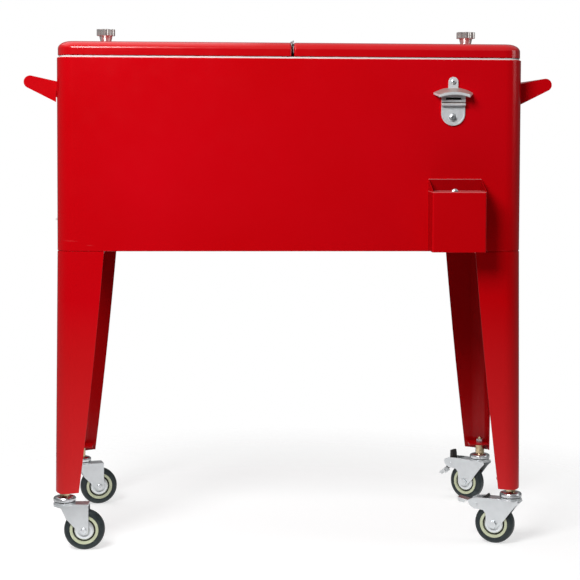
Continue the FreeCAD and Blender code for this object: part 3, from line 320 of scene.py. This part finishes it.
def brake_metal(name):
    """Black moulding around the pin, zinc-plated tongue beyond it."""
    n = Nodes("brake_" + name)
    pin = Vector(JOINTS["caster_" + name + "_brake"]["pos_m"])
    swivel = Vector(JOINTS["caster_" + name + "_swivel"]["pos_m"])
    outward = Vector((pin.x - swivel.x, pin.y - swivel.y, 0)).normalized()
    along = n.add("ShaderNodeVectorMath", operation="DOT_PRODUCT")
    n.join(n.place, along.inputs[0])
    along.inputs[1].default_value = outward
    start = outward.dot(pin) + TONGUE_START
    steel = n.ramp(along.outputs["Value"], start - 0.1 * MM, start + 0.1 * MM)
    grime = n.ramp(n.noise(150.0, 4.0, 0.6), 0.3, 0.7)
    zinc = n.mix(grime, (0.60, 0.62, 0.63), (0.80, 0.82, 0.83))
    black = n.mix(grime, (0.008, 0.007, 0.007), (0.030, 0.020, 0.018))
    n.colour(n.mix(steel, black, zinc))
    n.join(steel, n.shader.inputs["Metallic"])
    n.roughness(n.ramp(n.noise(200.0, 3.0), 0.3, 0.7, 0.30, 0.42))
    return n.material


MATERIALS = {
    "red_enamel": red_enamel("red_enamel", 0.08),
    "galvanised": metal("galvanised", (0.55, 0.57, 0.58), 0.42, 25.0, 0.1, 0.75),
    "liner_plastic": plastic("liner_plastic", (0.82, 0.81, 0.79), (0.85, 0.84, 0.82), 0.32, 9.0, 0.02),
    "foam": foam(),
    "soft_rubber": plastic("soft_rubber", (0.58, 0.58, 0.56), (0.66, 0.66, 0.64), 0.6),
    "chrome": metal("chrome", (0.80, 0.80, 0.77), 0.16, 60.0, 0.04, 0.75, 0.0, 0.72),
    "wheel_tread": tread(),
    "wheel_centre": plastic("wheel_centre", (0.47, 0.50, 0.33), (0.56, 0.59, 0.42), 0.4),
    "cast_zinc": metal("cast_zinc", (0.90, 0.92, 0.93), 0.50, 140.0, 0.05, 0.86, 0.06, 0.45),
    "zinc_plated": metal("zinc_plated", (0.80, 0.83, 0.85), 0.40, 60.0, 0.05, 0.93, 0.03),
    "drain_plastic": plastic("drain_plastic", (0.72, 0.72, 0.70), (0.78, 0.78, 0.76), 0.4),
}
# Near-black material for pieces standing in for shade in gaps, grooves and the opener's slot: painted shade.
GAP_SHADE = plastic("gap_shade", (0.012, 0.012, 0.012), (0.03, 0.026, 0.02), 0.7)
LID_ENAMEL = red_enamel("lid_enamel", 0.5)
OWN_MATERIALS = {
    "caster_stems": stem_metal(),
    "bottle_opener": opener_metal(),
    "lid_left_skin": LID_ENAMEL,
    "lid_right_skin": LID_ENAMEL,
    # The bin's enamel: painted highlights on its top edges, painted shade behind its front plate.
    "cap_catcher": red_enamel(
        "bin_enamel", 0.08, (BIN_BACK_TOP - EDGE_HIGHLIGHT_DROP, BIN_FRONT_TOP - EDGE_HIGHLIGHT_DROP), BIN_FRONT + BIN_SHEET
    ),
    **{"caster_" + name + "_brake_pedal": brake_metal(name) for name in BRAKED},
}


# ---------------------------------------------------------------- CAD nodes with better finishes

ROUNDING = {
    "outer_shell": 0.2, "inner_liner": 0.9, "centre_bar": 0.6, "handle": 0.6, "leg": 0.5, "skin": 0.35,
    "knob": 1.0, "opener": 0.7, "catcher": 0.4, "fork": 0.45, "axle": 0.5, "stems": 0.35, "screw": 0.25,
    "bolts": 0.4, "nuts": 0.4, "drain": 0.5, "gasket": 0.8, "liner": 0.5, "leaf": 0.2, "pedal": 0.4,
    "pin": 0.3,
}


def rounding_of(node):
    for word, size in ROUNDING.items():
        if word in node:
            return size * MM
    return 0.3 * MM


def finish_cad_nodes():
    """Give each CAD node its material, small rounded edges and smooth shading."""
    slots = {part["node"]: part["material_slot"] for part in frame["record"]["subparts"]}
    for name, node in NODES.items():
        node.data.materials.clear()
        node.data.materials.append(OWN_MATERIALS.get(name) or MATERIALS[slots[name]])
        weld = node.modifiers.new("weld", "WELD")
        weld.merge_threshold = 0.002 * MM
        flat = node.modifiers.new("flat", "DECIMATE")
        flat.decimate_type = "DISSOLVE"
        flat.angle_limit = math.radians(0.3)
        bevel = node.modifiers.new("rounding", "BEVEL")
        bevel.width = rounding_of(name)
        bevel.segments = 2
        bevel.limit_method = "ANGLE"
        bevel.angle_limit = math.radians(32)
        bevel.harden_normals = False
        normals = node.modifiers.new("normals", "WEIGHTED_NORMAL")
        normals.keep_sharp = False
        for polygon in node.data.polygons:
            polygon.use_smooth = True


# ---------------------------------------------------------------- mesh helpers

def piece(name, mesh, material, body):
    thing = bpy.data.objects.new(name, mesh)
    bpy.context.scene.collection.objects.link(thing)
    thing.data.materials.append(material)
    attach(thing, body)
    return thing


def turned(profile, centre, axis, segments=96):
    """A mesh turned about axis. profile is closed: (radius, distance along the axis)."""
    toward = Vector(axis).to_track_quat("Z", "Y").to_matrix().to_4x4()
    place = Matrix.Translation(centre) @ toward
    shape = bmesh.new()
    rings = []
    for step in range(segments):
        angle = 2 * math.pi * step / segments
        ring = [
            shape.verts.new(place @ Vector((radius * math.cos(angle), radius * math.sin(angle), along)))
            for radius, along in profile
        ]
        rings.append(ring)
    count = len(profile)
    for step in range(segments):
        here, there = rings[step], rings[(step + 1) % segments]
        for i in range(count):
            j = (i + 1) % count
            shape.faces.new((here[i], there[i], there[j], here[j]))
    bmesh.ops.recalc_face_normals(shape, faces=shape.faces)
    mesh = bpy.data.meshes.new("turned")
    shape.to_mesh(mesh)
    shape.free()
    for polygon in mesh.polygons:
        polygon.use_smooth = True
    mesh.set_sharp_from_angle(angle=math.radians(35))
    return mesh


def rounded(profile, radius, steps=4):
    """The closed (x, y) outline with each corner rounded."""
    out = []
    count = len(profile)
    for i in range(count):
        before, here, after = (Vector(profile[(i + k) % count]) for k in (-1, 0, 1))
        inward = before - here
        onward = after - here
        reach = min(radius, inward.length * 0.45, onward.length * 0.45)
        start = here + inward.normalized() * reach
        end = here + onward.normalized() * reach
        for step in range(steps + 1):
            t = step / steps
            point = start * (1 - t) ** 2 + here * 2 * t * (1 - t) + end * t ** 2
            out.append((point.x, point.y))
    return out


# ---------------------------------------------------------------- caster wheels

def tyre_outline(radius, core):
    return rounded([
        (core, -WHEEL_HALF + 0.2 * MM),
        (radius - 5.5 * MM, -WHEEL_HALF),
        (radius - 2.2 * MM, -WHEEL_HALF + 1.6 * MM),
        (radius, -WHEEL_HALF + 5 * MM),
        (radius, WHEEL_HALF - 5 * MM),
        (radius - 2.2 * MM, WHEEL_HALF - 1.6 * MM),
        (radius - 5.5 * MM, WHEEL_HALF),
        (core, WHEEL_HALF - 0.2 * MM),
    ], 1.6 * MM)


def centre_outline(core):
    """The moulded centre: hub, web, a groove on each face, and the rim."""
    rim = WHEEL_HALF - 0.1 * MM
    near_side = [
        (HUB_BORE, -11 * MM), (8 * MM, -11 * MM), (8.4 * MM, -9 * MM), (GROOVE_INNER, -GROOVE_FLOOR),
        (GROOVE_OUTER, -GROOVE_FLOOR), (20 * MM, -rim), (core, -rim),
    ]
    far_side = [(radius, -along) for radius, along in reversed(near_side)]
    return rounded(near_side + far_side, 0.5 * MM)


def cover_outline(side):
    return rounded([
        (8.2 * MM, side * 10.0 * MM), (12 * MM, side * 10.6 * MM), (15 * MM, side * 10.0 * MM),
        (17.0 * MM, side * 8.4 * MM), (16.6 * MM, side * 7.6 * MM), (8.2 * MM, side * 9.2 * MM),
    ], 0.4 * MM)


# A dark ring at the bottom of a wheel face's groove: painted shade.
def groove_shade_outline(side):
    return [
        (16.2 * MM, side * 5.2 * MM), (19.7 * MM, side * 5.2 * MM),
        (19.7 * MM, side * 6.4 * MM), (16.2 * MM, side * 6.4 * MM),
    ]


def wheel_pieces(name):
    """Tyre, moulded centre, and on each face a zinc cover and a dark ring of painted shade in its groove."""
    caster = "caster_" + name
    spin = JOINTS[caster + "_spin"]
    centre = Vector(spin["pos_m"])
    axis = Vector(spin["axis"])
    body = caster + "_wheel"
    low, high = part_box(caster + "_tyre")
    radius = (high.z - low.z) / 2
    core = radius - TYRE_DEPTH
    tyre_mesh = turned(tyre_outline(radius, core), centre, axis)
    tyre = piece("tyre_" + name, tyre_mesh, MATERIALS["wheel_tread"], body)
    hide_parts(caster + "_tyre")
    centre_mesh = turned(centre_outline(core), centre, axis)
    moulded = piece("wheel_centre_" + name, centre_mesh, MATERIALS["wheel_centre"], body)
    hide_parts(caster + "_wheel")
    for side, word in ((-1, "near"), (1, "far")):
        ending = name + "_" + word
        cover_mesh = turned(cover_outline(side), centre, axis)
        piece("wheel_cover_" + ending, cover_mesh, MATERIALS["zinc_plated"], body)
        groove_shade_mesh = turned(groove_shade_outline(side), centre, axis)
        piece("wheel_groove_shade_" + ending, groove_shade_mesh, GAP_SHADE, body)


def race_gap(name):
    """Dark ring in the swivel bearing's gap, between fork and race: painted shade."""
    swivel = JOINTS["caster_" + name + "_swivel"]
    x, y, _ = swivel["pos_m"]
    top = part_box("caster_" + name + "_fork")[1].z
    ring = [(8 * MM, 0.1 * MM), (17.2 * MM, 0.1 * MM), (17.2 * MM, 0.9 * MM), (8 * MM, 0.9 * MM)]
    mesh = turned(ring, Vector((x, y, top)), (0, 0, 1))
    piece("bearing_" + name, mesh, GAP_SHADE, "cabinet")


# ---------------------------------------------------------------- opener

def opener_slot_shade():
    """Dark block set in the slot under the opener's lip: painted shade."""
    low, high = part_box("bottle_opener")
    across = (low.x + high.x) / 2
    depth = TUB_LOW.y - OPENER_PLATE - SLOT_STAND_OFF
    height = high.z - SLOT_DROP - SLOT_SIZE[2] / 2
    shape = bmesh.new()
    place = Matrix.Translation((across, depth, height))
    bmesh.ops.create_cube(shape, size=1.0, matrix=place @ Matrix.Diagonal((*SLOT_SIZE, 1)))
    bmesh.ops.bevel(shape, geom=shape.edges, offset=0.1 * MM, segments=2, affect="EDGES")
    mesh = bpy.data.meshes.new("opener_slot_shade")
    shape.to_mesh(mesh)
    shape.free()
    piece("opener_slot_shade", mesh, GAP_SHADE, "cabinet")


# ---------------------------------------------------------------- stage, light and camera

FLOOR_RADIUS = 1.0


def floor():
    """Pale round floor whose rim melts into the pale background."""
    mesh = bpy.data.meshes.new("floor")
    shape = bmesh.new()
    bmesh.ops.create_circle(shape, cap_ends=True, segments=96, radius=FLOOR_RADIUS)
    shape.to_mesh(mesh)
    shape.free()
    ground = bpy.data.objects.new("floor", mesh)
    bpy.context.scene.collection.objects.link(ground)
    n = Nodes("floor")
    n.set(Roughness=0.9, Specular_IOR_Level=0.1)
    n.set(Base_Color=(0.58, 0.58, 0.58, 1.0), Emission_Color=(1, 1, 1, 1), Emission_Strength=0.55)
    distance = n.add("ShaderNodeVectorMath", operation="LENGTH")
    n.join(n.place, distance.inputs[0])
    fade = n.ramp(distance.outputs["Value"], FLOOR_RADIUS * 0.45, FLOOR_RADIUS, 1.0, 0.0)
    n.join(fade, n.shader.inputs["Alpha"])
    ground.data.materials.append(n.material)


def area_light(name, place, target, size, power):
    data = bpy.data.lights.new(name, "AREA")
    data.shape = "RECTANGLE"
    data.size, data.size_y = size
    data.energy = power
    light = bpy.data.objects.new(name, data)
    bpy.context.scene.collection.objects.link(light)
    light.location = place
    light.rotation_euler = (Vector(target) - Vector(place)).to_track_quat("-Z", "Y").to_euler()


def world():
    """Pale to the eye; as a light it is bright overhead, paler behind and dark low in front."""
    scene_world = bpy.data.worlds.new("studio")
    bpy.context.scene.world = scene_world
    scene_world.use_nodes = True
    tree = scene_world.node_tree
    tree.nodes.clear()
    out = tree.nodes.new("ShaderNodeOutputWorld")
    mixer = tree.nodes.new("ShaderNodeMixShader")
    seen = tree.nodes.new("ShaderNodeBackground")
    seen.inputs["Color"].default_value = (1, 1, 1, 1)
    seen.inputs["Strength"].default_value = 1.0
    lit = tree.nodes.new("ShaderNodeBackground")
    path = tree.nodes.new("ShaderNodeLightPath")
    coordinate = tree.nodes.new("ShaderNodeTexCoord")
    split = tree.nodes.new("ShaderNodeSeparateXYZ")
    tree.links.new(coordinate.outputs["Generated"], split.inputs[0])
    bands = []
    for output, low, high, dim, bright in (("Y", -0.9, 0.2, 0.02, 0.22), ("Z", 0.25, 0.6, 0.0, 0.5)):
        band = tree.nodes.new("ShaderNodeMapRange")
        band.interpolation_type = "SMOOTHSTEP"
        for key, number in (("From Min", low), ("From Max", high), ("To Min", dim), ("To Max", bright)):
            band.inputs[key].default_value = number
        tree.links.new(split.outputs[output], band.inputs["Value"])
        bands.append(band)
    brighter = tree.nodes.new("ShaderNodeMath")
    brighter.operation = "MAXIMUM"
    for band, socket in zip(bands, brighter.inputs):
        tree.links.new(band.outputs["Result"], socket)
    tree.links.new(brighter.outputs[0], lit.inputs["Strength"])
    tree.links.new(path.outputs["Is Camera Ray"], mixer.inputs["Fac"])
    tree.links.new(lit.outputs[0], mixer.inputs[1])
    tree.links.new(seen.outputs[0], mixer.inputs[2])
    tree.links.new(mixer.outputs[0], out.inputs["Surface"])


def lights():
    area_light("key", (-0.8, -1.7, 1.8), (-0.25, 0, 0.72), (0.9, 0.9), 43)
    area_light("fill", (3.0, -0.9, 1.4), (0.4, 0, 0.6), (1.2, 1.2), 10)
    area_light("top", (-1.3, 0.9, 3.0), (-1.3, 0.9, 0), (2.6, 3.4), 22)


FOCAL_PIXELS = 1659.0
PICTURE_PIXELS = 580.0
SENSOR_MM = 36.0
CAMERA_PLACE = Vector((-0.1267, -3.0201, 0.7277))
CAMERA_TURN = math.radians(-3.65)
CAMERA_TILT = math.radians(3.0)
CAMERA_ROLL = math.radians(0.26)
SHIFT = (-0.0564, -0.1281)


def camera():
    """A long lens, a little left of the middle and looking slightly down."""
    data = bpy.data.cameras.new("camera")
    data.sensor_width = SENSOR_MM
    data.lens = FOCAL_PIXELS / PICTURE_PIXELS * SENSOR_MM
    data.shift_x, data.shift_y = SHIFT
    data.clip_start, data.clip_end = 0.1, 60.0
    eye = bpy.data.objects.new("camera", data)
    bpy.context.scene.collection.objects.link(eye)
    upright = Matrix.Rotation(CAMERA_TURN, 4, "Z") @ Matrix.Rotation(math.radians(90) - CAMERA_TILT, 4, "X")
    eye.matrix_world = Matrix.Translation(CAMERA_PLACE) @ upright @ Matrix.Rotation(CAMERA_ROLL, 4, "Z")
    bpy.context.scene.camera = eye


# ---------------------------------------------------------------- everything

bpy.context.scene.view_settings.view_transform = "Standard"
finish_cad_nodes()
for caster in CASTERS:
    wheel_pieces(caster)
    race_gap(caster)
opener_slot_shade()
floor()
world()
lights()
camera()
